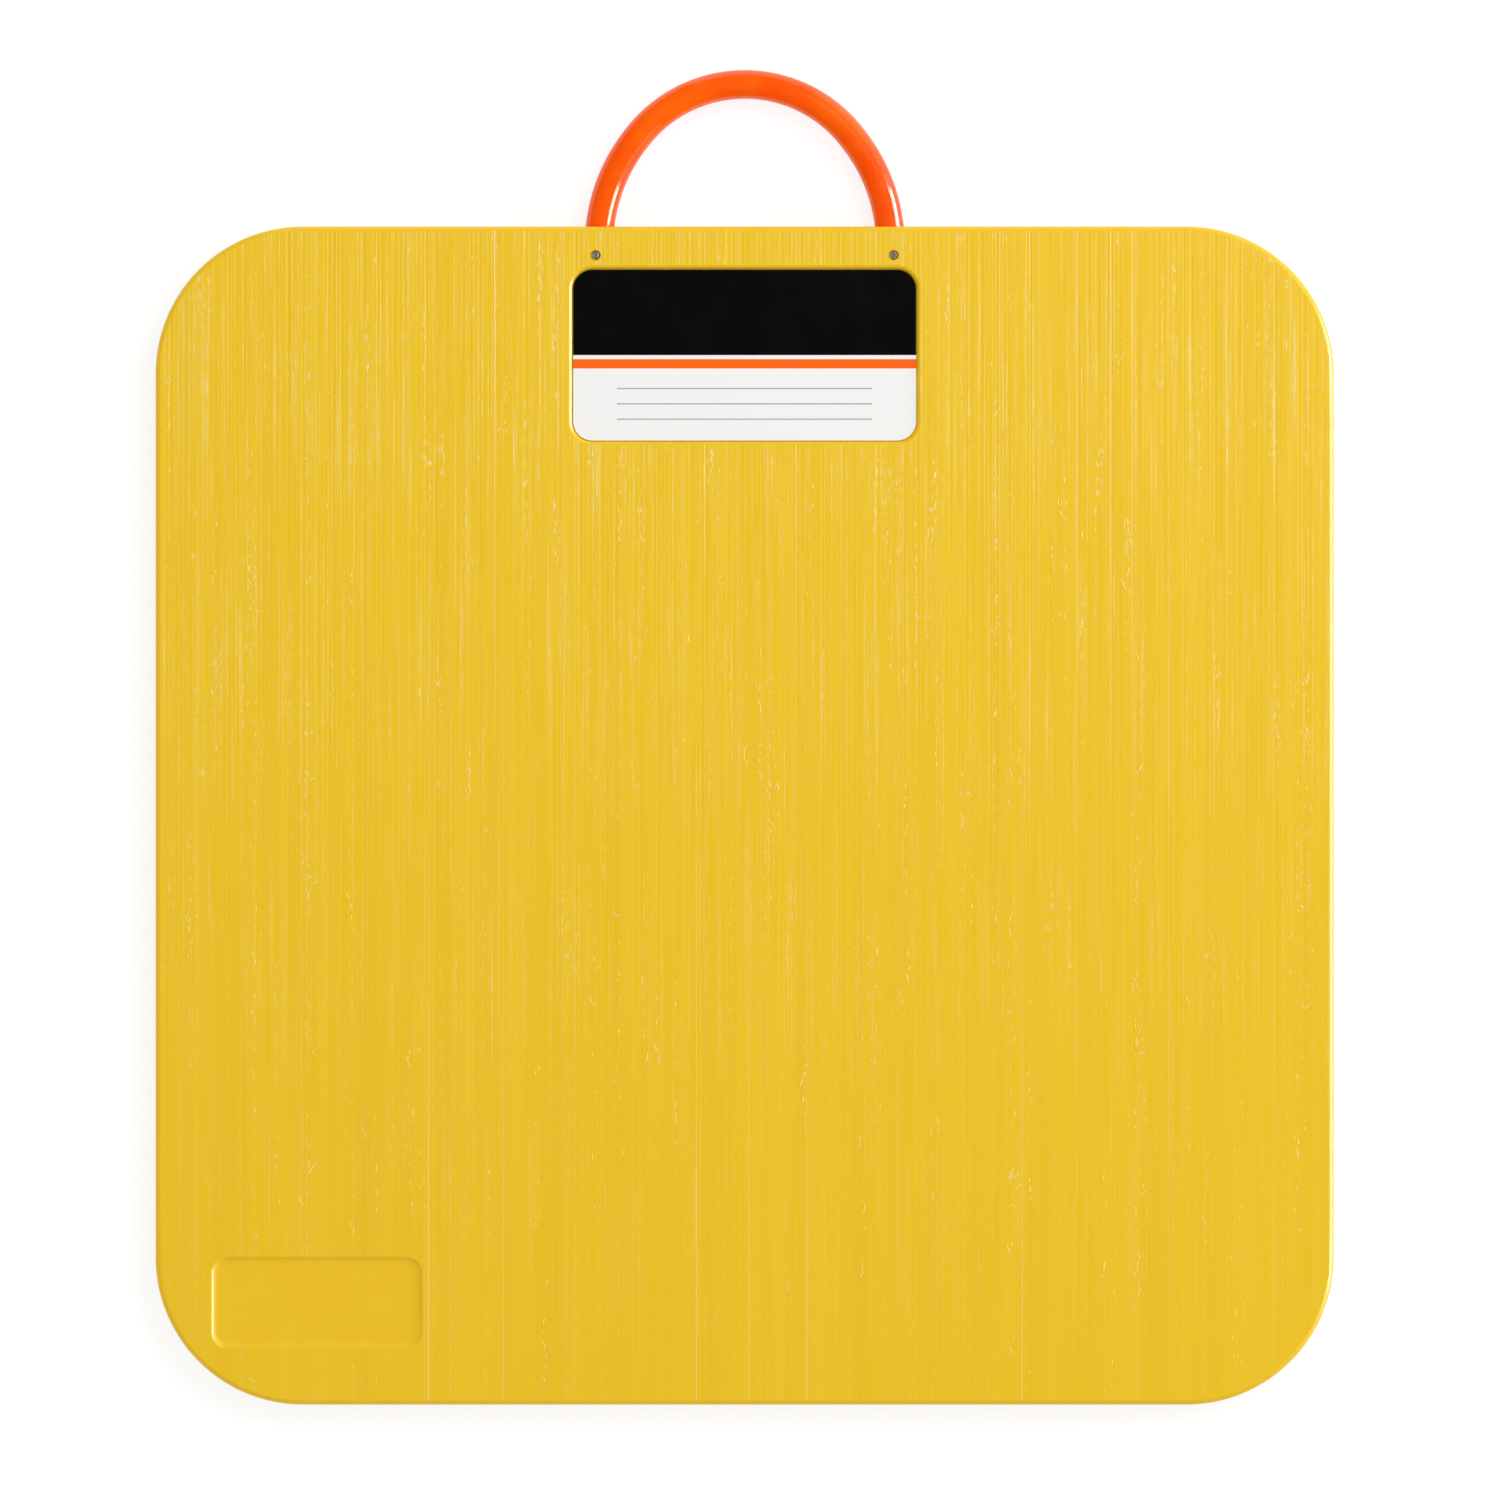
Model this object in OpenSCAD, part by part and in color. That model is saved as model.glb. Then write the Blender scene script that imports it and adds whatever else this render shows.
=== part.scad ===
// Outrigger pad: a square plate of yellow thermoplastic that spreads a crane
// leg's load over soft ground. A bent orange handle is pinned into two sockets
// in one edge, a label lies in a shallow pocket beside it, and a smaller dished
// pocket sits in the far corner.
// The plate lies on its underside with +Z up, and the handle points along +Y.
// The origin is the centre of the underside. All lengths are millimetres.

/* [Plate] */
// Width of the plate, along X
plate_w = 609.6; // [450:0.1:1000]
// Length of the plate, along Y
plate_l = 609.6; // [450:0.1:1000]
// Thickness of the plate
plate_t = 25.4; // [23:0.1:60]
// Radius of the plate's four corners, seen from above
corner_r = 76.2; // [20:0.1:95]
// Radius of the routed rim, above and below
rim_r = 3.2; // [1:0.1:3.6]

/* [Label] */
// Width of the label
label_w = 177.4; // [60:0.1:300]
// Height of the label, along Y
label_h = 88.4; // [40:0.1:160]
// Thickness of the label
label_t = 1; // [0.4:0.1:1.8]
// Radius of the label's corners
label_r = 10; // [4:0.1:18]
// Distance from the plate's edge to the label
label_inset = 22.4; // [21.5:0.1:80]
// Gap between the label and its pocket's wall
label_gap = 0.3; // [0.1:0.05:0.6]
// Depth of the label's pocket
label_pocket_d = 2.3; // [1.9:0.1:2.6]
// Radius of the rounded lip round the label's pocket
label_lip_r = 3; // [2.7:0.1:3.2]

/* [Marking pocket] */
// Width of the marking pocket's flat floor
mark_w = 102.2; // [30:0.1:160]
// Height of the marking pocket's flat floor, along Y
mark_h = 40.3; // [20:0.1:110]
// Depth of the marking pocket
mark_d = 1.4; // [1:0.1:2.6]
// Radius of the corners of the marking pocket's floor
mark_r = 5; // [3:0.1:12]
// Radius of the rounded lip round the marking pocket
mark_lip_r = 3; // [1.5:0.1:4]
// Radius of the hollow curve from the pocket's floor up to its lip
mark_floor_r = 5; // [1.5:0.1:7]
// Distance from the plate's side to the marking pocket's floor
mark_from_side = 32.4; // [32:0.1:90]
// Distance from the plate's end to the marking pocket's floor
mark_from_end = 32.8; // [32:0.1:90]

/* [Handle] */
// Diameter of the handle's round bar
handle_d = 15.1; // [10:0.1:15.4]
// Distance between the two legs where they leave the plate
handle_span = 150; // [130:0.1:180]
// Lean of each leg from square to the plate's edge, in degrees
leg_lean = 8; // [2:0.5:12]
// Straight length of each leg outside the plate
leg_out = 3; // [1:0.1:12]
// Depth of each leg inside the plate
leg_depth = 30; // [25:0.1:70]
// Bend radius of the handle's shoulders
shoulder_r = 89; // [75:0.1:100]
// Angle that each shoulder turns through, in degrees
shoulder_turn = 29.8; // [20:0.1:45]
// Straight length between each shoulder and the crown
neck_l = 2; // [1.2:0.1:8]
// Diameter that the bar loses where it is bent
bend_thin = 0.02; // [0.01:0.01:0.1]
// Gap all round a leg in its socket
socket_gap = 0.25; // [0.1:0.05:0.3]
// Gap between a leg's end and the bottom of its socket
socket_end_gap = 0.5; // [0.2:0.1:2]

/* [Handle screws] */
// Distance from the plate's edge to each screw
screw_inset = 14.9; // [10:0.1:15.5]
// Diameter of the screw's head
head_d = 4.4; // [4:0.1:5.5]
// Height of the screw's head
head_h = 2.4; // [2:0.1:2.5]
// Depth of the head's crown below the plate's face
head_sink = 0.5; // [0.2:0.1:0.8]
// Gap all round the head in its counterbore
head_gap = 0.4; // [0.2:0.05:0.6]
// Rise of the domed crown above the head's straight side
dome_h = 0.7; // [0.3:0.1:1]
// Width across the flats of the hexagon socket
hex_af = 2; // [1.5:0.1:2.5]
// Depth of the hexagon socket
hex_d = 1.4; // [0.8:0.1:1.6]
// Diameter of the screw's shank
shank_d = 2.9; // [2.4:0.1:3.4]
// Gap all round the shank in its hole
shank_gap = 0.1; // [0.05:0.05:0.2]
// Length of the screw's pointed tip
tip_l = 2; // [1:0.1:3]
// Depth that the screw bites into the plate below the leg
screw_bite = 2.5; // [1:0.1:2.8]

/* [Hidden] */
$fn = 96;

// Height that a cutting tool stands above the face that it cuts
tool_over = 10;
// Height by which a lip's arc overshoots the face, so that it meets it at a crease
lip_over = 0.02;
// Length by which a bent stretch of the handle runs into a straight one
bend_lap = 0.5;
// Length by which the pieces of a cutter's section run into each other
section_lap = 0.2;

edge_y = plate_l / 2;
handle_z = plate_t / 2;

// The label's pocket clears the label by the gap on every side.
pocket_w = label_w + 2 * label_gap;
pocket_h = label_h + 2 * label_gap;
pocket_r = label_r + label_gap;
label_y = edge_y - label_inset - label_h / 2;
label_z = plate_t - label_pocket_d;

mark_x = -plate_w / 2 + mark_from_side + mark_w / 2;
mark_y = -plate_l / 2 + mark_from_end + mark_h / 2;

// The handle's centreline, with y from the plate's edge: a straight leg, a
// shoulder arc, a short straight neck, and one crown arc centred between the legs.
crown_lean = leg_lean + shoulder_turn;
shoulder_x = handle_span / 2 - leg_out * sin(leg_lean);
shoulder_y = leg_out * cos(leg_lean);
neck_x = shoulder_x - shoulder_r * (cos(leg_lean) - cos(crown_lean));
neck_y = shoulder_y + shoulder_r * (sin(crown_lean) - sin(leg_lean));
crown_x = neck_x - neck_l * sin(crown_lean);
crown_y = neck_y + neck_l * cos(crown_lean);
crown_r = crown_x / cos(crown_lean);

screw_x = handle_span / 2 + screw_inset * tan(leg_lean);
screw_y = edge_y - screw_inset;
seat_z = plate_t - head_sink - head_h;
tip_z = handle_z - handle_d / 2 - screw_bite;
head_side_h = head_h - dome_h;
// Sphere whose cap is the domed crown
dome_r = (pow(head_d / 2, 2) + pow(dome_h, 2)) / (2 * dome_h);
hex_r = hex_af / (2 * cos(30));

// Carries a section round a rounded rectangle of w by l. The section's x runs
// from the corners' centre line, at 0, out to the corner radius r and beyond,
// and core_z gives the lowest and highest z of the block that fills the middle.
module swept_block(w, l, r, core_z) {
    inner_w = w - 2 * r;
    inner_l = l - 2 * r;
    for (quarter = [0 : 3]) {
        side = quarter % 2 == 0 ? inner_l : inner_w;
        reach = quarter % 2 == 0 ? inner_w : inner_l;
        rotate(90 * quarter) {
            translate([reach / 2, side / 2, 0])
                rotate_extrude(angle = 90) children();
            translate([reach / 2, side / 2, 0])
                rotate([90, 0, 0]) linear_extrude(side) children();
        }
    }
    translate([-inner_w / 2, -inner_l / 2, core_z[0]])
        cube([inner_w, inner_l, core_z[1] - core_z[0]]);
}

// Section of the plate's rim, rounded above and below.
module rim_section() {
    square([corner_r - rim_r, plate_t]);
    translate([0, rim_r]) square([corner_r, plate_t - 2 * rim_r]);
    for (z = [rim_r, plate_t - rim_r])
        translate([corner_r - rim_r, z]) circle(rim_r);
}

// Section of a pocket's cutter: flat floor out to x = r, then a hollow curve of
// floor_r that runs into a rounded lip of lip_r, both turning through the slope.
module pocket_section(r, depth, lip_r, floor_r) {
    slope = acos(1 - (depth + lip_over) / (lip_r + floor_r));
    knee_x = r + floor_r * sin(slope);
    brink_x = knee_x + lip_r * sin(slope);
    hollow_w = knee_x - r + 2 * section_lap;
    translate([0, -depth]) square([r, depth + tool_over]);
    if (floor_r > 0) {
        translate([r - section_lap, floor_r - depth])
            square([hollow_w, tool_over + depth - floor_r]);
        intersection() {
            translate([r, floor_r - depth]) circle(floor_r);
            translate([r - section_lap, -depth - tool_over])
                square([hollow_w, floor_r + tool_over]);
        }
    }
    difference() {
        translate([knee_x, -depth]) square([brink_x - knee_x, depth + tool_over]);
        translate([brink_x, lip_over - lip_r]) circle(lip_r);
    }
}

module pocket_cutter(w, l, r, depth, lip_r, floor_r = 0) {
    swept_block(w, l, r, [-depth, tool_over])
        pocket_section(r, depth, lip_r, floor_r);
}

// Draws its children and their mirror image about the plate's middle.
module both_sides() {
    for (side = [0, 1]) mirror([side, 0, 0]) children();
}

// Places its children half way up the middle of the plate's handle edge.
module at_edge() {
    translate([0, edge_y, handle_z]) children();
}

// Straight round bar along a leg's axis, from depth below the edge to out above it.
module leg_bar(d, depth, out) {
    translate([handle_span / 2, 0, 0])
        rotate([-90, 0, leg_lean])
            translate([0, 0, -depth]) cylinder(d = d, h = depth + out);
}

module plate() {
    color([0.92, 0.76, 0.2])
    difference() {
        swept_block(plate_w, plate_l, corner_r, [0, plate_t]) rim_section();
        translate([0, label_y, plate_t])
            pocket_cutter(pocket_w, pocket_h, pocket_r, label_pocket_d, label_lip_r);
        translate([mark_x, mark_y, plate_t])
            pocket_cutter(mark_w, mark_h, mark_r, mark_d, mark_lip_r, mark_floor_r);
        both_sides() {
            at_edge()
                leg_bar(handle_d + 2 * socket_gap, leg_depth + socket_end_gap, handle_d);
            translate([screw_x, screw_y, seat_z])
                cylinder(d = head_d + 2 * head_gap, h = plate_t);
            translate([screw_x, screw_y, tip_z])
                cylinder(d = shank_d + 2 * shank_gap, h = plate_t);
        }
    }
}

// Round bar bent through an arc of radius r in the plate's plane, from angle
// start through turn, with a lap at both ends.
module bent_bar(r, start, turn) {
    lap = bend_lap / r * 180 / PI;
    rotate(start - lap)
        rotate_extrude(angle = turn + 2 * lap)
            translate([r, 0]) circle(d = handle_d - bend_thin);
}

module handle() {
    color([1, 0.4, 0.02])
    difference() {
        at_edge() {
            both_sides() {
                leg_bar(handle_d, leg_depth, leg_out);
                translate([shoulder_x - shoulder_r * cos(leg_lean),
                           shoulder_y - shoulder_r * sin(leg_lean), 0])
                    bent_bar(shoulder_r, leg_lean, shoulder_turn);
                translate([neck_x, neck_y, 0])
                    rotate([-90, 0, crown_lean]) cylinder(d = handle_d, h = neck_l);
            }
            translate([0, crown_y - crown_r * sin(crown_lean), 0])
                bent_bar(crown_r, crown_lean, 180 - 2 * crown_lean);
        }
        both_sides()
            translate([screw_x, screw_y, 0])
                cylinder(d = shank_d + 2 * shank_gap, h = plate_t);
    }
}

// One screw, with its head's underside on z = 0.
module handle_screw() {
    shank_l = seat_z - tip_z;
    difference() {
        union() {
            cylinder(d = head_d, h = head_side_h);
            intersection() {
                translate([0, 0, head_side_h]) cylinder(d = head_d, h = dome_h);
                translate([0, 0, head_h - dome_r]) sphere(dome_r);
            }
            translate([0, 0, tip_l - shank_l]) cylinder(d = shank_d, h = shank_l - tip_l);
            translate([0, 0, -shank_l]) cylinder(d1 = 0, d2 = shank_d, h = tip_l);
        }
        translate([0, 0, head_h - hex_d]) cylinder(r = hex_r, h = head_h, $fn = 6);
    }
}

module handle_screws() {
    color([0.62, 0.62, 0.64])
    both_sides() translate([screw_x, screw_y, seat_z]) handle_screw();
}

// Flat plate of w by l with rounded corners.
module rounded_sheet(w, l, r, t) {
    linear_extrude(t) {
        square([w - 2 * r, l], center = true);
        square([w, l - 2 * r], center = true);
        for (x = [-1, 1], y = [-1, 1])
            translate([x * (w / 2 - r), y * (l / 2 - r)]) circle(r);
    }
}

module label() {
    color([0.93, 0.92, 0.91])
    translate([0, label_y, label_z]) rounded_sheet(label_w, label_h, label_r, label_t);
}

plate();
handle();
handle_screws();
label();
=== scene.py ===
# %% [markdown]
# # A crane outrigger pad
# An outrigger pad is a thick plastic plate that a crane's leg stands on, so that
# its load spreads over soft ground. This one is planed yellow polyethylene with
# routed edges, an orange carrying handle that is screwed into one edge, and a
# label in a shallow pocket. The solid model gives every size and place. This
# lesson dresses it: the planed face with its fine ridges and torn burrs, the
# print on the label, and the finish of each piece.
#
# The first step loads the solid model, and a helper reads the box of any of its parts.
# Nothing that is added may stand outside it.

# %% Load the solid model
import math

import bmesh
import bpy
import numpy as np
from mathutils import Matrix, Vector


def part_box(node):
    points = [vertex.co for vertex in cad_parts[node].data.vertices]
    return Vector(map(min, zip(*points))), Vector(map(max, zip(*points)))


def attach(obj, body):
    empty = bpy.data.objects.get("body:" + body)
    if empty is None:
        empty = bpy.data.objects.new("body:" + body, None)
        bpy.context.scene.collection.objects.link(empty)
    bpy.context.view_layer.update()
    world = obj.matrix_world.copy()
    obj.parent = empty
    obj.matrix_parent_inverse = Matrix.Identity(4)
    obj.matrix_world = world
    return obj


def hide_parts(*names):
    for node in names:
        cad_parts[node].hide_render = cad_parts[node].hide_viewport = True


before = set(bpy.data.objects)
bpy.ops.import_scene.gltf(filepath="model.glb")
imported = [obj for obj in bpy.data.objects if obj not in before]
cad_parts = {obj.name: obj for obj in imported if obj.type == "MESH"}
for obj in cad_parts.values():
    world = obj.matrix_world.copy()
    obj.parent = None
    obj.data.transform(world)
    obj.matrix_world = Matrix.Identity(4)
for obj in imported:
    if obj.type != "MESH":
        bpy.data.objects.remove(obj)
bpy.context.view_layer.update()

# %% [markdown]
# ## The camera
# The photograph looks straight down at the pad, so far away that the pad's sides
# don't show. A camera without any turn looks down with +Y up, which is just that
# view. A long lens from 8 m gives nearly parallel rays. A short lens close by
# would show the sides, and the handle, which lies lower, would look too small.

# %% Camera
MM = 0.001
VIEW_WIDTH = 771.7 * MM
VIEW_CENTRE = (0.7 * MM, 36.0 * MM)
VIEW_DISTANCE = 8.0

plate_low, plate_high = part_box("plate")
lens = bpy.data.cameras.new("camera")
lens.sensor_width = 36.0
lens.lens = lens.sensor_width * VIEW_DISTANCE / VIEW_WIDTH
camera = bpy.data.objects.new("camera", lens)
camera.location = (*VIEW_CENTRE, plate_high.z + VIEW_DISTANCE)
bpy.context.scene.collection.objects.link(camera)
bpy.context.scene.camera = camera
bpy.context.scene.view_settings.view_transform = "Standard"
print("camera: lens", round(lens.lens, 1), "mm, height", round(camera.location.z, 3), "m")

# %% [markdown]
# ## From points to meshes
# Most shapes here are grids of points, worked out with numpy. One helper turns such
# a grid into a mesh: each point is joined to its next along both directions, and
# the open ends can be closed with a flat face. Two more clean a mesh and shade it.

# %% Mesh helpers
MERGE, TOO_SHORT = 1e-7, 1e-8       # metres


def grid_object(name, points, wrap=(False, False), caps=False, finish=None):
    """Object from points[u, v, xyz] in mm. Quads join neighbours in u and v, wrap
    closes a direction on itself, and caps fill the first and last rings in u.
    finish holds a material number for each quad."""
    rows, cols = points.shape[:2]
    number = np.arange(rows * cols).reshape(rows, cols)
    u = np.arange(rows if wrap[0] else rows - 1)
    v = np.arange(cols if wrap[1] else cols - 1)
    u0, v0 = np.meshgrid(u, v, indexing="ij")
    u1, v1 = (u0 + 1) % rows, (v0 + 1) % cols
    quads = np.stack([number[u0, v0], number[u1, v0], number[u1, v1], number[u0, v1]], -1)
    faces = quads.reshape(-1, 4).tolist()
    finishes = np.zeros(len(faces), int) if finish is None else finish.reshape(-1)
    if caps:
        faces += [number[0].tolist(), number[-1].tolist()]
        finishes = np.append(finishes, [finishes[-1], finishes[-1]])
    mesh = bpy.data.meshes.new(name)
    mesh.from_pydata((points.reshape(-1, 3) * MM).tolist(), [], faces)
    mesh.polygons.foreach_set("material_index", finishes.astype(np.int32))
    tidy(mesh)
    return mesh_object(name, mesh)


def mesh_object(name, mesh):
    """Object that shows a mesh in the scene."""
    made = bpy.data.objects.new(name, mesh)
    bpy.context.scene.collection.objects.link(made)
    return made


def tidy(mesh):
    """Merge doubles, drop faces without area, and turn every face outwards."""
    work = bmesh.new()
    work.from_mesh(mesh)
    bmesh.ops.remove_doubles(work, verts=work.verts, dist=MERGE)
    bmesh.ops.dissolve_degenerate(work, edges=work.edges, dist=TOO_SHORT)
    bmesh.ops.recalc_face_normals(work, faces=work.faces)
    work.to_mesh(mesh)
    work.free()


def smooth(made, crease):
    """Shade smoothly, but keep edges crisp that turn by more than crease degrees."""
    made.data.polygons.foreach_set("use_smooth", np.ones(len(made.data.polygons), bool))
    made.data.set_sharp_from_angle(angle=math.radians(crease))


print("mesh helpers ready")

# %% [markdown]
# ## The plate's planed face
# The plate is sawn from a thick sheet and planed on both faces. Nicks in the
# planer's knives leave shallow grooves that run the whole length of the plate,
# a couple of millimetres apart, and the light from the side makes each one show
# as a fine line. A bump texture could fake them, but real grooves also run out
# on the rounded rim and at the pockets' lips, as they do on the real plate.
#
# Each groove gets its own width and depth, and its depth drifts along its length.
# The knives were cleaner at the far end of the pass, so the grooves fade from the
# handle's end to the other. A groove's section is a parabola between two sharp
# cusps, so four columns of points for each groove are enough.

# %% Grooves
rng = np.random.default_rng(24)
WIDTH, LENGTH, THICK = (np.array(plate_high - plate_low) / MM).tolist()
CORNER_R = 76.2
RIM_R = 3.2
FACE_DROP = 0.10            # cusps lie this far below the sheet's sawn face
ROWS = 18                   # rows of points along each groove
FADE = 0.25                 # share of the grooves' depth that is left at the far end
NARROW, WIDE = 1.5, 3.2     # least and most distance between two cusps
ENOUGH = 400                # cusps that reach across the plate and past it
MARGIN = RIM_R + 1.0        # outermost cusps stay this far from the plate's sides
SHALLOW, DEEP = 0.012, 0.2
DEPTH_SPREAD = 0.052        # a gamma draw gives many shallow grooves and a few deep
DRIFT = (0.2, 1.2)          # least and most share of a groove's depth on its way

cusps = np.cumsum(rng.uniform(NARROW, WIDE, ENOUGH)) - WIDTH / 2
cusps = cusps[np.abs(cusps) < WIDTH / 2 - MARGIN]
grooves = len(cusps) - 1
across = np.array([0.0, 0.2, 0.5, 0.8])
groove_x = (cusps[:-1, None] + np.diff(cusps)[:, None] * across).ravel()

groove_depth = np.minimum(rng.gamma(2.0, DEPTH_SPREAD, grooves) + SHALLOW, DEEP)
drift = rng.uniform(*DRIFT, (grooves, ROWS + 2))
drift = (drift[:, :-2] + 2 * drift[:, 1:-1] + drift[:, 2:]) / 4
drift *= FADE + (1 - FADE) * np.linspace(0, 1, ROWS) ** 2
section = 4 * across * (1 - across)
planed = section[None, :, None] * (groove_depth[:, None] * drift)[:, None, :]
planed = FACE_DROP + planed.reshape(-1, ROWS)
print("grooves:", grooves, "deepest", round(float(groove_depth.max()), 3), "mm")

# %% [markdown]
# ## The plate as one closed surface
# The plate is cut by many planes across X, one at each column of points. Each cut
# is a closed loop: along the planed top, over the routed rim, down the edge and
# back along the underside. All loops have the same number of points, so the whole
# plate is a grid of two parameters, column by loop, with a flat cap at each side.
# Near the corners a loop is shorter, because the outline curves in.

# %% Plate surface
# Steps over the rim as shares of its radius: at the plate's ends from the face to the
# edge, and at its sides from the edge inwards.
SHARES = np.array([1.0, 0.74, 0.5, 0.32, 0.18, 0.08, 0.02, 0.0])
SIDE_SHARES = np.array([0.0, 0.02, 0.08, 0.18, 0.32, 0.5, 0.74, 0.87, 1.0])
UNDER_ROWS, UNDER_EVERY = 4, 5      # the underside takes every fifth row of the top
FIELD_FROM = 0.7                    # share of the rim's radius where planing shows

left_x = -WIDTH / 2 + RIM_R * SIDE_SHARES
plate_x = np.concatenate([left_x, groove_x, -left_x[::-1]])
rim_cols = len(left_x)
planed_all = np.pad(planed, ((rim_cols, rim_cols), (0, 0)), constant_values=FACE_DROP)


def plate_grid(x, depth):
    """Loops of the plate at each x. A point at distance d inside the outline has
    fallen by R - sqrt(R^2 - (R - d)^2) on the rim's arc, and the top is the lower
    of that arc and the planed face, so that the grooves run out on the rim."""
    side = WIDTH / 2 - np.abs(x)
    into_corner = np.maximum(CORNER_R - side, 0.0)[:, None]
    d = np.minimum(side, RIM_R)[:, None] * SHARES
    fall = RIM_R - np.sqrt(np.maximum(RIM_R ** 2 - (RIM_R - d) ** 2, 0.0))
    reach = np.sqrt(np.maximum((CORNER_R - d) ** 2 - into_corner ** 2, 0.0))
    y = LENGTH / 2 - CORNER_R + reach
    far, near = np.maximum(fall, depth[:, -1:]), np.maximum(fall, depth[:, :1])
    top_y = y[:, :1] * np.linspace(-1, 1, ROWS + 2)[1:-1]
    top_z = THICK - np.maximum(fall[:, :1], depth)
    under = depth[:, ::UNDER_EVERY] - FACE_DROP
    under_y = y[:, :1] * np.linspace(1, -1, UNDER_ROWS + 2)[1:-1]
    under_z = np.maximum(fall[:, :1], under[:, :UNDER_ROWS])
    low = np.maximum(fall, under[:, :1])
    back = slice(None, None, -1)
    loop_y = np.hstack([top_y, y, y[:, back], under_y, -y, -y[:, back]])
    loop_z = np.hstack([top_z, THICK - far, low[:, back],
                        under_z, low, (THICK - near)[:, back]])
    loop_x = np.repeat(x[:, None], loop_y.shape[1], 1)
    return np.stack([loop_x, loop_y, loop_z], -1)


plate_points = plate_grid(plate_x, planed_all)
loop_size = plate_points.shape[1]
# A loop's stretches, in order: top, far rim down, far rim in, underside, near rim
# out and near rim up. The first two steps of a rim still lie on the planed face.
under_start = ROWS + 2 * len(SHARES)
planed_steps = np.zeros(loop_size, bool)
planed_steps[:ROWS + 1] = True
planed_steps[under_start - 2:under_start + UNDER_ROWS + 1] = True
planed_steps[-2:] = True
in_field = (WIDTH / 2 - np.abs(plate_x)) > FIELD_FROM * RIM_R
routed = ~(planed_steps[None, :] & (in_field[:-1] & in_field[1:])[:, None])
plate = grid_object("planed_plate", plate_points, wrap=(False, True), caps=True,
                    finish=routed.astype(int))
print("plate:", len(plate.data.polygons), "faces from", len(plate_x), "loops of", loop_size)

# %% [markdown]
# ## Pockets, sockets and screw holes
# A router cuts the label's pocket and the small dished pocket in the corner, each
# with a rounded lip, and drills make the handle's sockets and the screw holes. The
# cutter of a pocket is a profile carried round a rounded rectangle. Taking the
# cutters away from the plate with a Boolean is what the tools did, and the
# grooves then stop at each lip by themselves.

# %% Pocket cutters
LABEL_DEPTH, LABEL_LIP, LABEL_GAP, LABEL_CORNER = 2.3, 3.0, 0.3, 10.0
DISH_DEPTH, DISH_LIP, DISH_HOLLOW, DISH_CORNER = 1.4, 3.0, 5.0, 5.0
DISH_CENTRE, DISH_SIZE = (-221.3, -251.85), (102.2, 40.3)
TOOL_OVER = 1.0             # a cutter stands this far above the face
ARC_STEPS = 13


def rounded_path(centre, size, radius, steps=16):
    """Points of a rounded rectangle, and the outward normal at each. The normal's
    angle runs once round, and stands still along the straight sides."""
    turn = np.linspace(0, math.pi / 2, steps)
    angle = np.concatenate([turn + k * math.pi / 2 for k in range(4)])
    normal = np.stack([np.cos(angle), np.sin(angle)], -1)
    sign = np.repeat(np.array([(1, 1), (-1, 1), (-1, -1), (1, -1)]), steps, 0)
    inner = np.array(size) / 2 - radius
    return np.array(centre) + sign * inner + radius * normal, normal


def pocket_cutter(name, centre, size, radius, depth, lip, hollow):
    """A profile of (outward, height) steps carried round a rounded rectangle: from
    the floor a hollow arc, then the lip's arc, and a riser above the face. Both arcs
    turn through the angle whose cosine is 1 - depth / (hollow + lip)."""
    path, normal = rounded_path(centre, size, radius)
    slope = math.acos(1 - depth / (hollow + lip))
    turn = np.linspace(0, slope, ARC_STEPS)
    foot = hollow * np.stack([np.sin(turn), 1 - np.cos(turn)], -1) - (0, depth)
    back = turn[::-1]
    flare = lip * np.stack([math.sin(slope) - np.sin(back), np.cos(back) - 1], -1)
    flare[:, 0] += foot[-1, 0]
    riser = flare[-1:] + (0, TOOL_OVER)
    profile = np.vstack([foot if hollow else foot[:0], flare, riser])
    flat = path[None] + profile[:, :1, None] * normal[None]
    height = np.repeat(THICK + profile[:, 1:], len(path), 1)[..., None]
    points = np.concatenate([flat, height], -1)
    return grid_object(name, points, wrap=(False, True), caps=True,
                       finish=np.ones((len(profile) - 1, len(path)), int))


label_low, label_high = (np.array(c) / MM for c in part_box("label"))
label_centre = (label_low + label_high)[:2] / 2
label_size = (label_high - label_low)[:2]
cutters = [
    pocket_cutter("label_cutter", label_centre, label_size + 2 * LABEL_GAP,
                  LABEL_CORNER + LABEL_GAP, LABEL_DEPTH, LABEL_LIP, 0.0),
    pocket_cutter("dish_cutter", DISH_CENTRE, DISH_SIZE, DISH_CORNER,
                  DISH_DEPTH, DISH_LIP, DISH_HOLLOW),
]
print("pockets at", label_centre.round(1), "and", DISH_CENTRE)

# %% Drill cutters
LEG_SPAN, LEG_LEAN = 150.0, math.radians(8)
SOCKET_R, SOCKET_DEPTH, SOCKET_OVER = 7.8, 30.5, 12.0
SCREW_INSET, HEAD_HOLE_R, SEAT_Z = 14.9, 2.6, 22.5


def drill(name, start, end, radius, sides=48):
    """Cylinder from start to end: circles of points square to the axis."""
    start, end = np.array(start), np.array(end)
    axis = (end - start) / np.linalg.norm(end - start)
    across = np.cross(axis, (1.0, 0.0, 0.0))
    across /= np.linalg.norm(across)
    angle = np.linspace(0, 2 * math.pi, sides, endpoint=False)[:, None]
    ring = radius * (np.cos(angle) * across + np.sin(angle) * np.cross(axis, across))
    points = np.stack([start + ring, end + ring])
    return grid_object(name, points, wrap=(False, True), caps=True,
                       finish=np.ones((1, sides), int))


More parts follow.
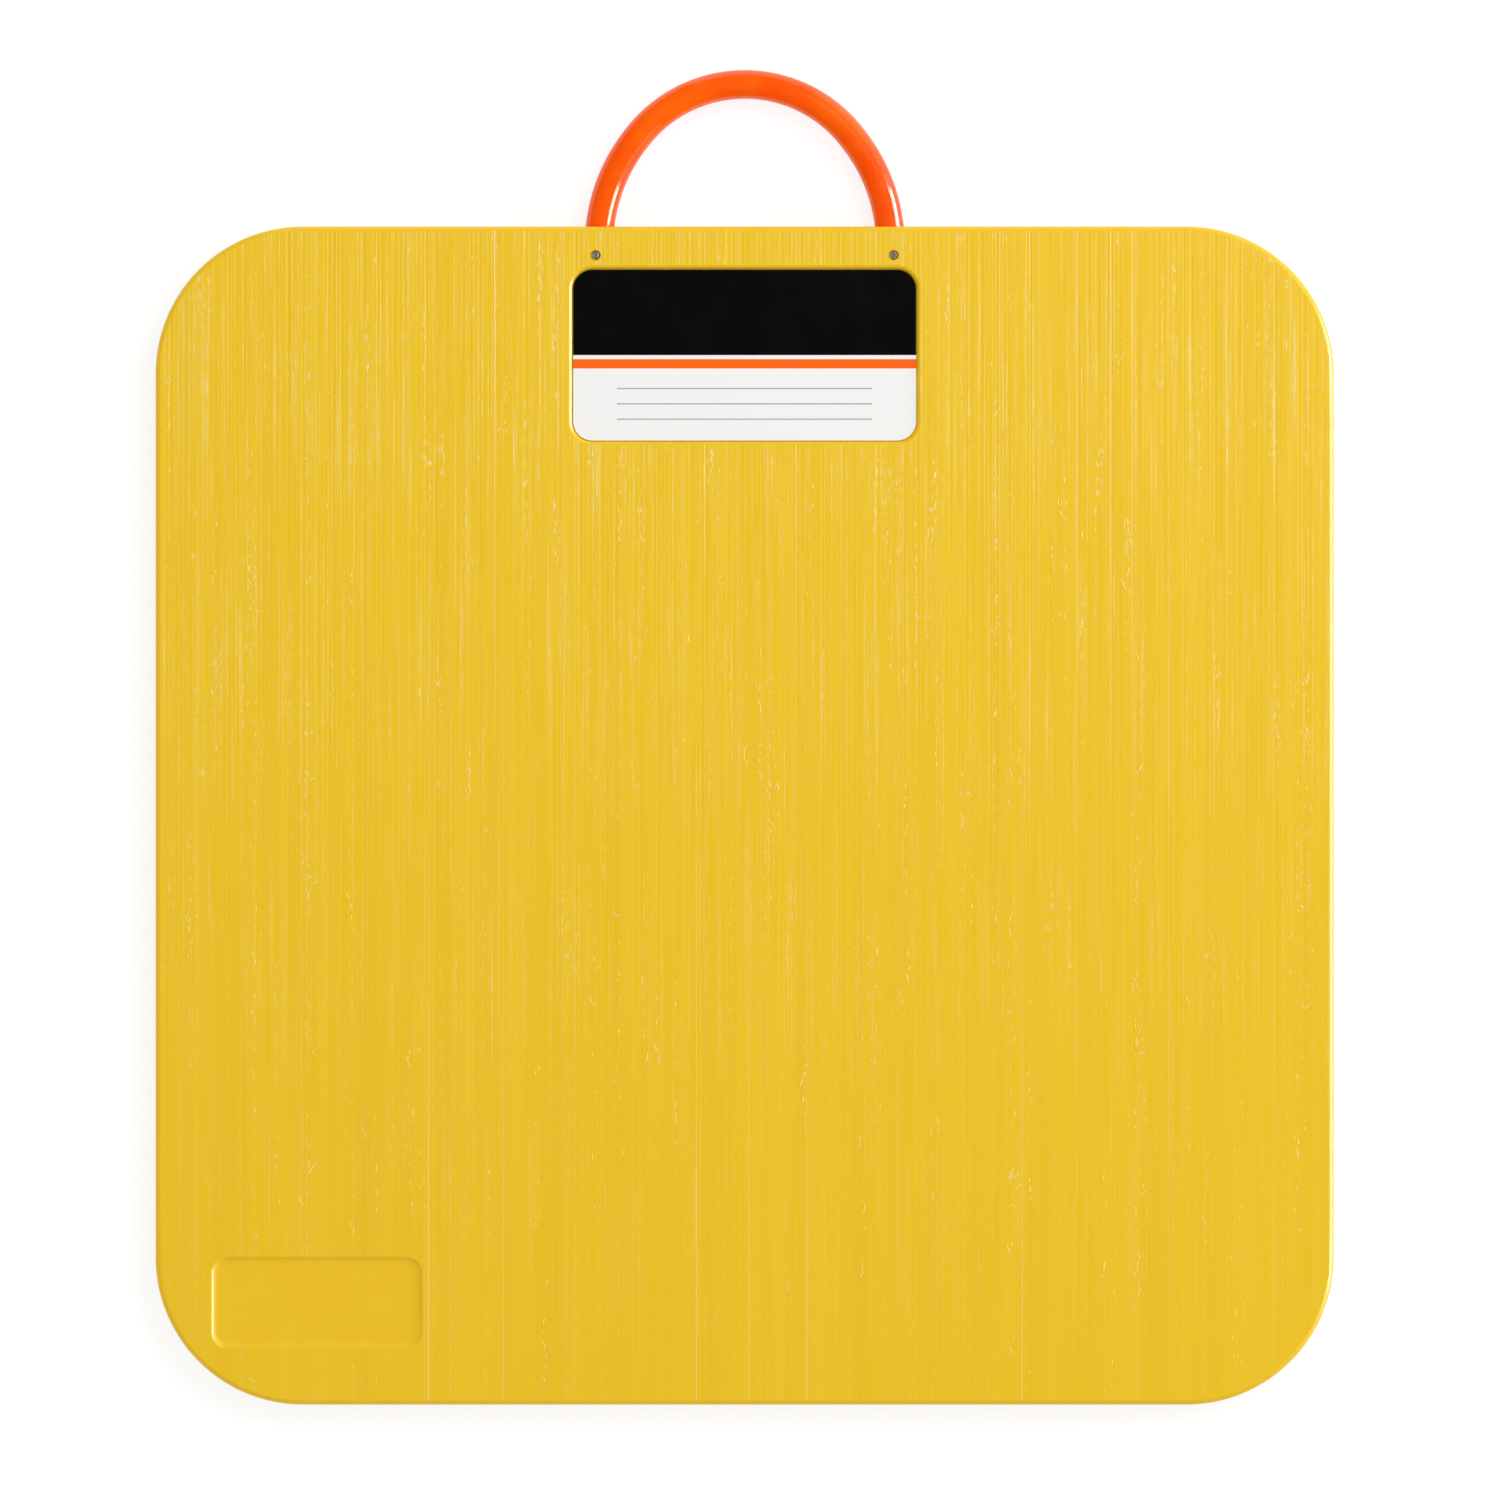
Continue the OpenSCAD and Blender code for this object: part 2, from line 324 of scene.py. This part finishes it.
screw_x = LEG_SPAN / 2 + SCREW_INSET * math.tan(LEG_LEAN)
screw_y = LENGTH / 2 - SCREW_INSET
for side in (-1, 1):
    mouth = np.array([side * LEG_SPAN / 2, LENGTH / 2, THICK / 2])
    along = np.array([-side * math.sin(LEG_LEAN), math.cos(LEG_LEAN), 0.0])
    cutters.append(drill("socket_cutter", mouth - SOCKET_DEPTH * along,
                         mouth + SOCKET_OVER * along, SOCKET_R))
    cutters.append(drill("screw_cutter", (side * screw_x, screw_y, SEAT_Z),
                         (side * screw_x, screw_y, THICK + TOOL_OVER), HEAD_HOLE_R))
print("drilled:", len(cutters) - 2, "holes")

# %% Cut the plate
PLATE_CREASE = 13

# Two empty slots on each mesh, planed and routed, keep the finish of every face.
for piece in (plate, *cutters):
    piece.data.materials.append(None)
    piece.data.materials.append(None)
for cutter in cutters:
    cut = plate.modifiers.new(cutter.name, "BOOLEAN")
    cut.operation = "DIFFERENCE"
    cut.solver = "EXACT"
    cut.object = cutter
view = bpy.context.evaluated_depsgraph_get()
cut_mesh = bpy.data.meshes.new_from_object(plate.evaluated_get(view))
plate.modifiers.clear()
plate.data = cut_mesh
for cutter in cutters:
    bpy.data.objects.remove(cutter)
smooth(plate, PLATE_CREASE)
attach(plate, "root")
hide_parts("plate")
plate.data.calc_loop_triangles()
print("cut plate:", len(plate.data.loop_triangles), "triangles")

# %% [markdown]
# ## Torn burrs
# Where the planer's knife is blunt it tears the plastic, and pale jagged slivers
# stay on the face, in patches that follow a groove. They are what makes the
# photographed face look worked and not moulded. A few bad nicks tear a row of
# slanted flakes along the whole plate. Hair particles could do it, but many small
# ribbons from one formula are simpler to place. Each one is a path that zigzags
# about its heading, with a small diamond for its section that tapers at both ends.

# %% Shape of a burr
STEPS = 6                           # points along a burr
BURR_HIGH, BURR_LIFT = 0.06, 0.01
BLUNT = 0.06                        # keeps a burr's tips from shrinking to nothing


def burr_points(start, angle, length, wide, high):
    """Paths that go a step of the length at each angle, each with a diamond section
    of half size wide by high that tapers to both ends."""
    step = (length / (STEPS - 1))[:, None]
    x = start[:, :1] + np.cumsum(np.cos(angle) * step, 1)
    y = start[:, 1:] + np.cumsum(np.sin(angle) * step, 1)
    taper = np.sqrt(np.clip(1 - np.linspace(-1, 1, STEPS) ** 4, BLUNT, 1))
    w, h = wide[:, None] * taper, high * taper
    z = np.full_like(x, THICK - FACE_DROP + BURR_LIFT)
    left = np.stack([x - np.sin(angle) * w, y + np.cos(angle) * w, z], -1)
    right = np.stack([x + np.sin(angle) * w, y - np.cos(angle) * w, z], -1)
    crown = np.stack([x, y, z + h], -1)
    root = np.stack([x, y, z - h], -1)
    return np.stack([left, crown, right, root], 2)


print("a burr has", STEPS, "rings of 4 points")

# %% Where the burrs lie
BURRS = 2800                        # tries; some are dropped again
PATCHES, ROWS_TORN = 110, 8         # the first patches are rows from end to end
PATCH_LEAST, PATCH_MOST = (0.15, 10.0), (0.9, 60.0)     # reach across and along
ROW_REACH, ROW_WEIGHT, ROW_SHARE = (0.7, 240.0), 6.0, 0.8
BURR_SHORT, BURR_SPREAD, BURR_WIDE = 0.9, 0.9, (0.05, 0.16)
ROW_SLANT, PATCH_SLANT, ZIGZAG = 0.5, 0.25, 0.4     # radians
CLEAR_RIM, CLEAR_LABEL, CLEAR_DISH, CLEAR_SCREW = RIM_R + 1.0, 5.0, 7.0, 5.0


def on_planed_face(p):
    """True where a point lies on the planed face, clear of rims, pockets and screws."""
    corner = np.maximum(np.abs(p) - (np.array([WIDTH, LENGTH]) / 2 - CORNER_R), 0)
    inside = np.hypot(corner[..., 0], corner[..., 1]) < CORNER_R - CLEAR_RIM
    off_label = np.any(np.abs(p - label_centre) > label_size / 2 + CLEAR_LABEL, -1)
    dish_half = np.array(DISH_SIZE) / 2
    off_dish = np.any(np.abs(p - np.array(DISH_CENTRE)) > dish_half + CLEAR_DISH, -1)
    screws = np.array([(k * screw_x, screw_y) for k in (-1, 1)])
    off_screws = np.all(np.linalg.norm(p[..., None, :] - screws, axis=-1) > CLEAR_SCREW, -1)
    return inside & off_label & off_dish & off_screws


patch_at = rng.uniform(-WIDTH / 2, WIDTH / 2, (PATCHES, 2))
patch_reach = rng.uniform(PATCH_LEAST, PATCH_MOST, (PATCHES, 2))
patch_reach[:ROWS_TORN] = ROW_REACH
weight = np.where(np.arange(PATCHES) < ROWS_TORN, ROW_WEIGHT, 1.0)
which = rng.choice(PATCHES, BURRS, p=weight / weight.sum())
start = patch_at[which] + rng.normal(0, 1, (BURRS, 2)) * patch_reach[which]
in_row = which < ROWS_TORN
# More burrs stay towards the handle, and a few more towards the right.
likely = 0.3 + 0.5 * (start[:, 1] / LENGTH + 0.5) + 0.2 * (start[:, 0] / WIDTH + 0.5)
chosen = rng.random(BURRS) < np.where(in_row, ROW_SHARE, likely)
start, in_row = start[chosen], in_row[chosen]
slant = np.where(in_row, ROW_SLANT, PATCH_SLANT)[:, None]
heading = math.pi / 2 + slant * rng.normal(0, 1, (len(start), 1))
heading = heading + rng.normal(0, ZIGZAG, (len(start), STEPS))
long = rng.gamma(2.0, BURR_SPREAD, len(start)) + BURR_SHORT
wide = rng.uniform(*BURR_WIDE, len(start))
burrs = burr_points(start, heading, long, wide, BURR_HIGH)
burrs = burrs[np.all(on_planed_face(burrs[:, :, 1, :2]), 1)]
print("burrs:", len(burrs), "of", BURRS)

# %% Burr mesh
BURR_CREASE = 60

ring = np.arange(burrs[..., 0].size).reshape(burrs.shape[:3])
turned = np.roll(ring, -1, 2)
sides = np.stack([ring[:, :-1], ring[:, 1:], turned[:, 1:], turned[:, :-1]], -1)
ends = np.concatenate([ring[:, 0], ring[:, -1]])
burr_faces = np.vstack([sides.reshape(-1, 4), ends])
burr_mesh = bpy.data.meshes.new("torn_burrs")
burr_mesh.from_pydata((burrs.reshape(-1, 3) * MM).tolist(), [], burr_faces.tolist())
tidy(burr_mesh)
burr = mesh_object("torn_burrs", burr_mesh)
smooth(burr, BURR_CREASE)
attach(burr, "root")
print("burr mesh:", len(burr_mesh.polygons), "faces")

# %% [markdown]
# ## Helpers for materials
# A material is a tree of nodes. One function adds a node with its settings and
# links, and the others are short names for what every finish needs: a hex colour
# as a paint chart gives it, turned into the linear numbers that a renderer mixes,
# noise measured on the object itself, a value brought to another range, two
# colours mixed, and the surface that ends the tree.

# %% Material helpers
FACTOR, UNDER, OVER, MIXED = 0, 6, 7, 2     # a Mix node's sockets for colours


def linear(code):
    """Linear RGBA of an sRGB hex code: each channel goes through the sRGB curve."""
    srgb = np.array([int(code[i:i + 2], 16) for i in (0, 2, 4)]) / 255
    curve = np.where(srgb <= 0.04045, srgb / 12.92, ((srgb + 0.055) / 1.055) ** 2.4)
    return (*curve.tolist(), 1.0)


def put(tree, kind, settings=None, links=None):
    """Add a node. A settings key is an input's name or number, or else a property."""
    node = tree.nodes.new(kind)
    for key, value in (settings or {}).items():
        if isinstance(key, int) or key in node.inputs:
            node.inputs[key].default_value = value
        else:
            setattr(node, key, value)
    for key, output in (links or {}).items():
        tree.links.new(output, node.inputs[key])
    return node


def new_material(name):
    """An empty node material and its node tree."""
    material = bpy.data.materials.new(name)
    material.use_nodes = True
    material.node_tree.nodes.clear()
    return material, material.node_tree


def on_object(tree):
    """Position on the object, in metres."""
    return put(tree, "ShaderNodeTexCoord").outputs["Object"]


def noise(tree, scale, detail, roughness=0.5, place=None):
    """Noise from 0 to 1 with so many cells for each metre of the object."""
    node = put(tree, "ShaderNodeTexNoise",
               {"Scale": scale, "Detail": detail, "Roughness": roughness},
               {"Vector": on_object(tree) if place is None else place})
    return node.outputs["Fac"]


def ranged(tree, value, low, high, start=0.0, end=1.0):
    """A value that runs straight from low at start to high at end, and no further."""
    node = put(tree, "ShaderNodeMapRange",
               {"From Min": start, "From Max": end, "To Min": low, "To Max": high},
               {"Value": value})
    return node.outputs["Result"]


def maths(tree, operation, *values):
    """A named operation on values, each a node's output or a plain number."""
    node = put(tree, "ShaderNodeMath", {"operation": operation})
    for socket, value in zip(node.inputs, values):
        if isinstance(value, float):
            socket.default_value = value
        else:
            tree.links.new(value, socket)
    return node.outputs["Value"]


def two_tone(tree, value, low, high):
    """Colour that goes from one hex code to another. low and high each hold a value
    and the code there."""
    ramp = put(tree, "ShaderNodeValToRGB", links={"Fac": value})
    for stop, (position, code) in zip(ramp.color_ramp.elements, (low, high)):
        stop.position = position
        stop.color = linear(code)
    return ramp.outputs["Color"]


def laid_over(tree, colour, share, code):
    """A colour with a hex colour laid over it by a share from 0 to 1."""
    mix = put(tree, "ShaderNodeMix", {"data_type": "RGBA", OVER: linear(code)},
              {FACTOR: share, UNDER: colour})
    return mix.outputs[MIXED]


def cover(tree, settings, links, relief=None):
    """End a tree with its surface. relief holds a height, a strength and the depth
    in mm."""
    if relief:
        height, strength, depth = relief
        bump = put(tree, "ShaderNodeBump", {"Strength": strength, "Distance": depth * MM},
                   {"Height": height})
        links = {**links, "Normal": bump.outputs["Normal"]}
    skin = put(tree, "ShaderNodeBsdfPrincipled", settings, links)
    put(tree, "ShaderNodeOutputMaterial", links={"Surface": skin.outputs["BSDF"]})


print("material helpers ready")

# %% [markdown]
# ## Yellow polyethylene
# The plate is polyethylene coloured right through with a yellow pigment, so the
# cut edges are as yellow as the faces. Planed, it is satin and shows streaks along
# the grooves: paler where the knife stretched the plastic white, deeper where it
# cut clean. Noise stretched along the grooves gives both. The finest pale lines
# are partly stretch-whitened plastic and partly a painted highlight: the light
# caught on the ridges' flanks, laid into the colour. A few nicks in the knife leave
# white lines from end to end, and torn patches are flecked. All but those lines
# fades with the grooves. Routed edges were cut by a fast, sharp tool, so they are
# even in colour.

# %% Planed polyethylene
PLASTIC_IOR = 1.5
PLATE_HALF = 0.3            # about half the plate's length, in metres

planed_yellow, tree = new_material("planed_polyethylene")
place = on_object(tree)
spot = put(tree, "ShaderNodeSeparateXYZ", links={"Vector": place})
worn = ranged(tree, spot.outputs["Y"], FADE, 1.0, -PLATE_HALF, PLATE_HALF)
wear = maths(tree, "POWER", worn, 1.6)


def streaks(scale, detail, low, high):
    """Noise squeezed to scale cells per metre along each axis, then stretched so
    that its values from low to high cover 0 to 1."""
    lane = put(tree, "ShaderNodeMapping", {"Scale": scale}, {"Vector": place})
    speckle = noise(tree, 1.0, detail, 0.6, lane.outputs["Vector"])
    return ranged(tree, speckle, 0.0, 1.0, low, high)


def times(*values):
    """Product of values."""
    product = values[0]
    for value in values[1:]:
        product = maths(tree, "MULTIPLY", product, value)
    return product


# Bands about 12 mm wide, and streaks 2 mm wide and 90 mm long.
bands = streaks((80, 1.5, 1), 2.0, 0.25, 0.75)
lanes = streaks((480, 11, 1), 3.0, 0.3, 0.7)
# Lines 1 mm wide, broken every 9 mm or so: stretch-whitened plastic with a painted highlight of
# the ridges' flanks.
whitened_and_highlight_lines = times(streaks((900, 7, 1), 2.0, 0.55, 0.75), streaks((600, 110, 1), 2.0, 0.3, 0.7))
# Nicks in the knife: rare lines from end to end. Torn flecks lie in strips.
nicks = streaks((700, 0.6, 1), 0.0, 0.72, 0.82)
flecks = times(streaks((900, 200, 1), 2.0, 0.54, 0.68), streaks((130, 9, 1), 2.0, 0.58, 0.74))
tone = two_tone(tree, bands, (0.0, "E7BA02"), (1.0, "EAC00C"))
for share, code in ((times(lanes, 0.3, wear), "EEC634"),
                    # near white: stretch-whitened plastic and a painted highlight of the
                    # ridges' flanks
                    (times(whitened_and_highlight_lines, 0.9, wear), "F9E7AE"),
                    (times(nicks, 0.36), "FBEFC9"),
                    (times(flecks, 0.85, wear), "FCEFC6")):
    tone = laid_over(tree, tone, share, code)
# The relief is for knife marks too fine for the mesh, 1 mm apart.
cover(tree, {"IOR": PLASTIC_IOR},
      {"Base Color": tone, "Roughness": ranged(tree, lanes, 0.24, 0.36)},
      relief=(times(whitened_and_highlight_lines, wear), 0.6, 0.02))
plate.data.materials[0] = planed_yellow
print("finish:", planed_yellow.name)

# %% Routed polyethylene
routed_yellow, tree = new_material("routed_polyethylene")
# Faint chatter of the cutter, about 3 mm, and handling scuffs of 20 mm.
chatter = noise(tree, 330.0, 2.0)
scuff = noise(tree, 50.0, 4.0, 0.65)
cover(tree, {"IOR": PLASTIC_IOR},
      {"Base Color": two_tone(tree, scuff, (0.35, "EABB03"), (0.75, "ECC00A")),
       "Roughness": ranged(tree, scuff, 0.28, 0.36)},
      relief=(chatter, 0.3, 0.015))
plate.data.materials[1] = routed_yellow
print("finish:", routed_yellow.name)

# %% Stretched polyethylene of the burrs
sliver, tree = new_material("stretched_polyethylene")
# Some patches, about 17 mm wide, are stretched whiter than others.
whiter = noise(tree, 60.0, 2.0)
cover(tree, {"IOR": PLASTIC_IOR, "Roughness": 0.4},
      {"Base Color": two_tone(tree, whiter, (0.3, "F3CF5E"), (0.7, "FFF3C8"))})
burr.data.materials.append(sliver)
print("finish:", sliver.name)

# %% [markdown]
# ## The orange handle
# The handle is a round bar of orange polymer, bent warm and smooth from the die.
# Its gloss is what gives it away: a sharp white strip of the side light on each
# leg. A low roughness shows that strip, and a slightly cloudy colour and fine dull
# scuffs keep it from looking like glass.

# %% Orange polyurethane
def dress(node, material):
    """Give a piece of the solid model its finish."""
    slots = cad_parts[node].data.materials
    slots.clear()
    slots.append(material)
    print("finish:", material.name)


handle_finish, tree = new_material("orange_polyurethane")
# Cloudiness of the melt, about 30 mm, and fine handling scuffs of 2 mm.
cloud = noise(tree, 34.0, 2.0)
scuff = noise(tree, 480.0, 3.0, 0.6)
cover(tree, {"IOR": PLASTIC_IOR},
      {"Base Color": two_tone(tree, cloud, (0.3, "FA4C00"), (0.7, "FF6400")),
       "Roughness": ranged(tree, scuff, 0.1, 0.18, 0.45, 0.8)},
      relief=(scuff, 0.1, 0.006))
dress("handle", handle_finish)

# %% [markdown]
# ## The screws
# Two steel screws pin the handle's legs. Their small domed heads are zinc plated,
# which leaves a dull grey shine, a little uneven from spot to spot.

# %% Zinc plated steel
screw_finish, tree = new_material("zinc_plated_steel")
# Spots about 1 mm wide.
stain = noise(tree, 900.0, 3.0)
cover(tree, {"Metallic": 1.0},
      {"Base Color": two_tone(tree, stain, (0.3, "C8C8CC"), (0.7, "E8E8EA")),
       "Roughness": ranged(tree, stain, 0.35, 0.55)})
dress("handle_screws", screw_finish)

# %% [markdown]
# ## The label
# The label is a stiff white sheet with a printed face under a clear gloss film.
# This one carries a plain print: a black band, an orange stripe, and blank lines
# to write on. The print is flat bands, so a colour ramp with hard steps, read
# along the label's height, draws all of them at once, and the lines are cut off
# before the label's ends.

# %% Printed laminate
BAND, STRIPE_TOP, STRIPE_END = 44.0, 46.0, 51.0         # mm from the label's top
LINES, LINE_WIDE, LINE_HALF = (61.0, 69.0, 77.0), 0.6, 66.0
INK_BLACK, INK_ORANGE, INK_GREY, PAPER = "060404", "FF6400", "A9A9AB", "EFEDEB"
NO_LINE, LINE = "000000", "FFFFFF"

label_finish, tree = new_material("printed_laminate")
spot = put(tree, "ShaderNodeSeparateXYZ", links={"Vector": on_object(tree)})
down = ranged(tree, spot.outputs["Y"], 0.0, 1.0,
              float(label_high[1]) * MM, float(label_low[1]) * MM)


def hard_steps(first, stops):
    """Hard steps of colour down the label: the first hex code from its top, and each
    further one from its own mm on."""
    ramp = put(tree, "ShaderNodeValToRGB", links={"Fac": down})
    ramp.color_ramp.interpolation = "CONSTANT"
    stop, last = ramp.color_ramp.elements
    stop.color = linear(first)
    last.color = linear(stops[-1][1])
    for edge, code in stops:
        ramp.color_ramp.elements.new(edge / label_size[1]).color = linear(code)
    return ramp.outputs["Color"]


printed = hard_steps(INK_BLACK, [(BAND, PAPER), (STRIPE_TOP, INK_ORANGE),
                                 (STRIPE_END, PAPER)])
edges = [(line + wide, code) for line in LINES
         for wide, code in ((0.0, LINE), (LINE_WIDE, NO_LINE))]
within = maths(tree, "LESS_THAN", maths(tree, "ABSOLUTE", spot.outputs["X"]), LINE_HALF * MM)
ruled = maths(tree, "MULTIPLY", hard_steps(NO_LINE, edges), within)
# The film is a little wavy, about 15 mm, and has rubbed patches.
wave = noise(tree, 65.0, 2.0)
cover(tree, {"IOR": PLASTIC_IOR},
      {"Base Color": laid_over(tree, printed, ruled, INK_GREY),
       "Roughness": ranged(tree, wave, 0.14, 0.26)},
      relief=(wave, 0.2, 0.1))
dress("label", label_finish)

# %% [markdown]
# ## Floor, background and light
# The photograph has a pure white ground. A floor lit to white by the lamps alone
# would need too much light on the pad. So the floor is a plain pale one for the
# light that it throws on the pad, and for the camera and for reflections it is a
# grey with a glow: lit, the two add up to white, and in the pad's shadow they don't.

# %% Floor and world
PALE_FLOOR = 0.8                        # what the floor throws back on the pad
FLOOR_GREY, FLOOR_GLOW = 0.3, 0.76      # what the camera sees of it
FILL = 0.77                             # the world's light on the pad
FLOOR_HALF, FLOOR_Z = 30000.0, -0.05    # mm
WHITE = (1, 1, 1, 1)


def by_ray(tree, hidden, seen):
    """A value for rays that the eye follows, from the camera, in a reflection or
    through glass, and another one for the light that surfaces throw on each other."""
    ray = put(tree, "ShaderNodeLightPath").outputs
    followed = maths(tree, "MAXIMUM", ray["Is Camera Ray"], ray["Is Glossy Ray"])
    followed = maths(tree, "MAXIMUM", followed, ray["Is Transmission Ray"])
    return ranged(tree, followed, hidden, seen)


ground, tree = new_material("studio_floor")
cover(tree, {"Roughness": 1.0, "Specular IOR Level": 0.0, "Emission Color": WHITE},
      {"Base Color": by_ray(tree, PALE_FLOOR, FLOOR_GREY),
       "Emission Strength": by_ray(tree, 0.0, FLOOR_GLOW)})
span = (-FLOOR_HALF, FLOOR_HALF)
floor = grid_object("floor", np.array([[(x, y, FLOOR_Z) for x in span] for y in span]))
floor.data.materials.append(ground)

world = bpy.data.worlds.new("studio")
bpy.context.scene.world = world
world.use_nodes = True
tree = world.node_tree
tree.nodes.clear()
sky = put(tree, "ShaderNodeBackground", {"Color": WHITE}, {"Strength": by_ray(tree, FILL, 1.0)})
put(tree, "ShaderNodeOutputWorld", links={"Surface": sky.outputs["Background"]})
print("floor and world ready")

# %% [markdown]
# ## Lamps
# The shading in the photograph tells where the lamps stood. The grooves, the
# right-hand rim and the walls of the pockets that face right are bright, and each
# leg of the handle has a white strip near its right side: a panel stood low on the
# right. The face is paler towards its upper right corner: a large soft box hung
# above on that side.
#
# A lamp does two things: it lights a surface, and it is mirrored in a gloss. The
# photograph needs both at different strengths, so each lamp is split in two. One
# half only lights, and the other only shows as a shine.

# %% Lamps
SOFT_PLACE, SOFT_SIZE = (1.15, 1.15, 2.6), (1.5, 1.5)
LAMPS = (
    # name, place, aim and size in metres, watts, use
    ("soft_box", SOFT_PLACE, (0, 0, 0), SOFT_SIZE, 28, "light"),
    ("soft_shine", SOFT_PLACE, (0, 0, 0), SOFT_SIZE, 17, "shine"),
    ("side_panel", (8.8, 2.3, 1.65), (0, 0.3, 1.0), (5.0, 3.2), 380, "light"),
    ("glint_panel", (9.0, 0.4, 2.9), (0, 0.3, 2.2), (6.4, 5.8), 2250, "shine"),
)


def panel(name, place, aim, size, power, use):
    """A rectangular lamp at place, turned so that its face looks at aim."""
    data = bpy.data.lights.new(name, "AREA")
    data.shape = "RECTANGLE"
    data.size, data.size_y = size
    data.energy = power
    lamp = bpy.data.objects.new(name, data)
    lamp.location = place
    to_aim = np.array(aim) - np.array(place)
    flat = math.hypot(to_aim[0], to_aim[1])
    lamp.rotation_euler = (math.atan2(flat, -to_aim[2]), 0, math.atan2(-to_aim[0], to_aim[1]))
    lamp.visible_diffuse = use == "light"
    lamp.visible_glossy = use == "shine"
    bpy.context.scene.collection.objects.link(lamp)


for lamp in LAMPS:
    panel(*lamp)
print("lamps:", [lamp[0] for lamp in LAMPS])

# %% [markdown]
# ## A black cloth over the pad
# From above, a glossy face mirrors whatever hangs over it. A pale room there makes
# the yellow chalky and the label's black grey. A photographer hangs a black cloth
# over the object. This one is closed to the left and in front, open towards the
# lamps and the back, and only reflections see it.

# %% Black cloth
CLOTH_NEAR, CLOTH_BACK, CLOTH_UP = 4000.0, 12000.0, 3200.0      # mm
CLOTH_BLACK = (0.02, 0.02, 0.02, 1)

black, tree = new_material("black_cloth")
skin = put(tree, "ShaderNodeBsdfDiffuse", {"Color": CLOTH_BLACK})
put(tree, "ShaderNodeOutputMaterial", links={"Surface": skin.outputs["BSDF"]})
# Three points each way: the first lies on the floor under the second.
cloth_x = np.array([-CLOTH_NEAR, -CLOTH_NEAR, CLOTH_NEAR])
cloth_y = np.array([-CLOTH_NEAR, -CLOTH_NEAR, CLOTH_BACK])
cloth_z = CLOTH_UP * np.outer([0, 1, 1], [0, 1, 1])
cloth = np.stack([*np.meshgrid(cloth_x, cloth_y, indexing="ij"), cloth_z], -1)
screen = grid_object("black_cloth", cloth)
screen.data.materials.append(black)
screen.visible_camera = screen.visible_diffuse = screen.visible_shadow = False
print("black cloth:", CLOTH_UP / 1000, "m up")
